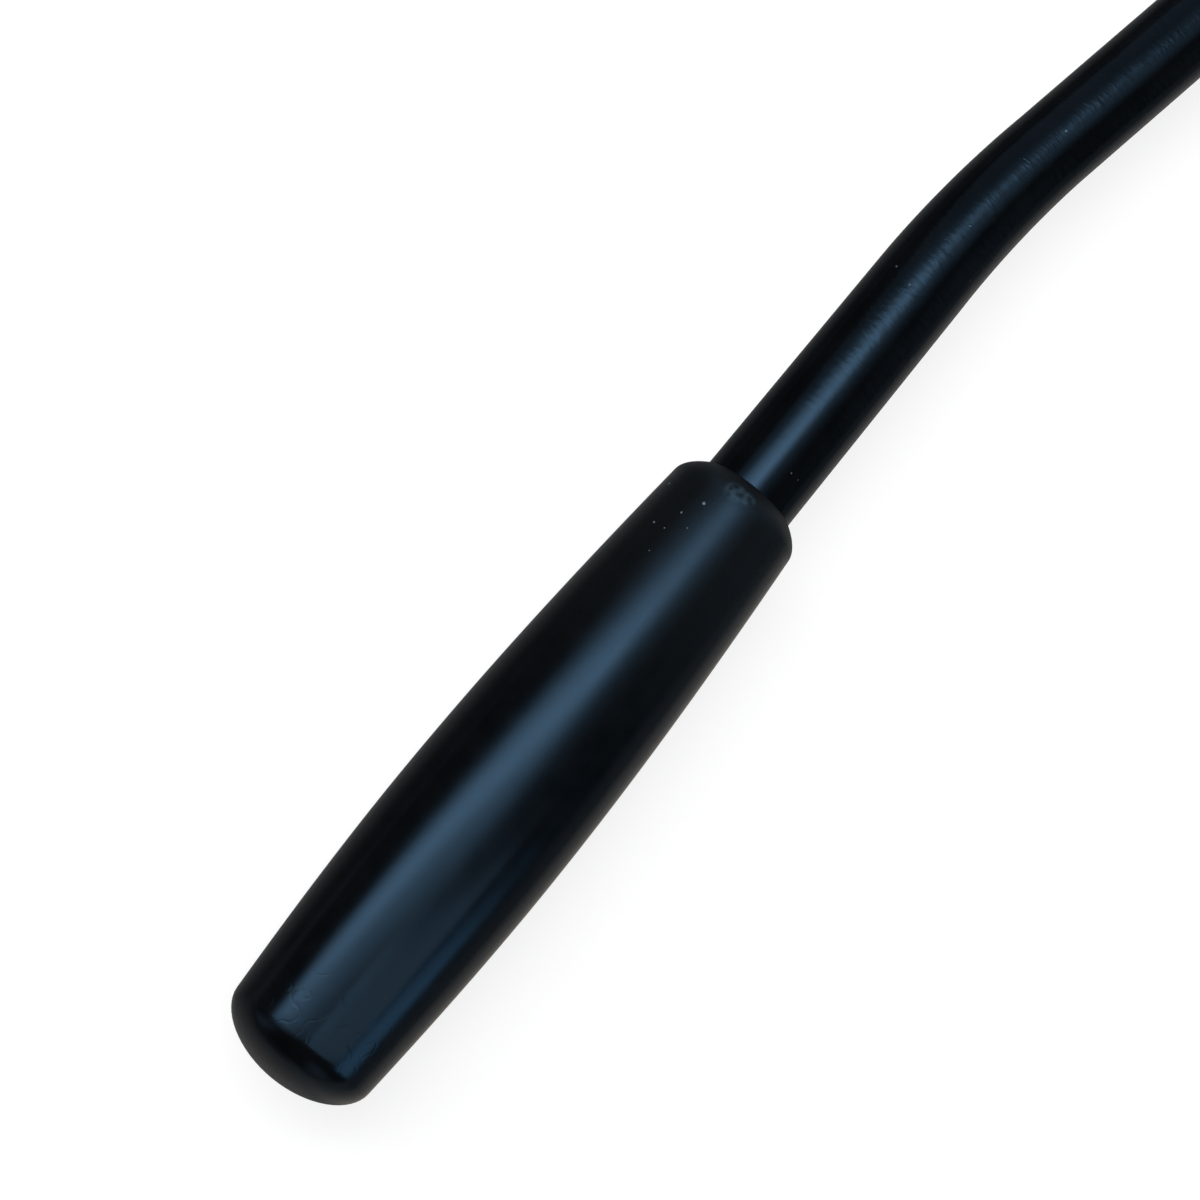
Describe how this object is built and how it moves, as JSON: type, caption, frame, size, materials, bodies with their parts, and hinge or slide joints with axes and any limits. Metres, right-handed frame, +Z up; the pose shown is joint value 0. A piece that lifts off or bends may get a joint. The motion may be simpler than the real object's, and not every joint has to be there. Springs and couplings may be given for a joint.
{
  "type": "tripod head pan handle",
  "caption": "Bent tubular pan handle with a tapered dome-ended grip, a toothed rosette and a sprung captive clamp screw with a ratchet lever.",
  "frame": {"origin": "on the clamp axis, in the plane of the rosette's tooth crests", "axes": "+Z up the clamp axis towards the lever, +X along the straight root of the bar towards the grip, +Y the side that the bar bends to"},
  "size_m": [0.3617, 0.1029, 0.0676],
  "materials": {
    "grip_rubber": "satin moulded rubber",
    "bar_coat": "satin black coat on drawn tube",
    "plug_plastic": "moulded",
    "cast_black": "black powder coat on a casting",
    "bright_steel": "zinc plated",
    "dark_steel": "blackened",
    "spring_steel": "drawn wire",
    "nylon": "natural nylon",
    "lever_black": "black powder coat on a die casting"
  },
  "bodies": {
    "handle": {"grip": "grip_rubber", "handle_bar": "bar_coat", "bar_plug": "plug_plastic", "end_fitting": "cast_black", "fitting_pins": "bright_steel", "rosette_ring": "bright_steel", "rosette_screws": "dark_steel", "return_spring": "spring_steel"},
    "washers": {"thrust_washer": "bright_steel", "glide_washer": "nylon"},
    "clamp": {"clamp_screw": "bright_steel", "ratchet_hub": "dark_steel", "hub_pin": "bright_steel", "lever_spring": "spring_steel", "lever_screw": "bright_steel"},
    "lever": {"clamp_lever": "lever_black"}
  },
  "joints": [
    {"name": "clamp_push", "type": "slide", "parent": "handle", "child": "washers", "axis": [0, 0, -1], "range_m": [0, 0.006], "stiffness_N_per_m": 1200, "springref_m": -0.005, "deforming": ["return_spring"]},
    {"name": "clamp_turn", "type": "hinge", "parent": "washers", "child": "clamp", "pos_m": [0, 0, 0.026], "axis": [0, 0, -1], "continuous": true},
    {"name": "lever_lift", "type": "slide", "parent": "clamp", "child": "lever", "axis": [0, 0, 1], "range_m": [0, 0.0042], "stiffness_N_per_m": 800, "springref_m": -0.004, "deforming": ["lever_spring"]}
  ]
}
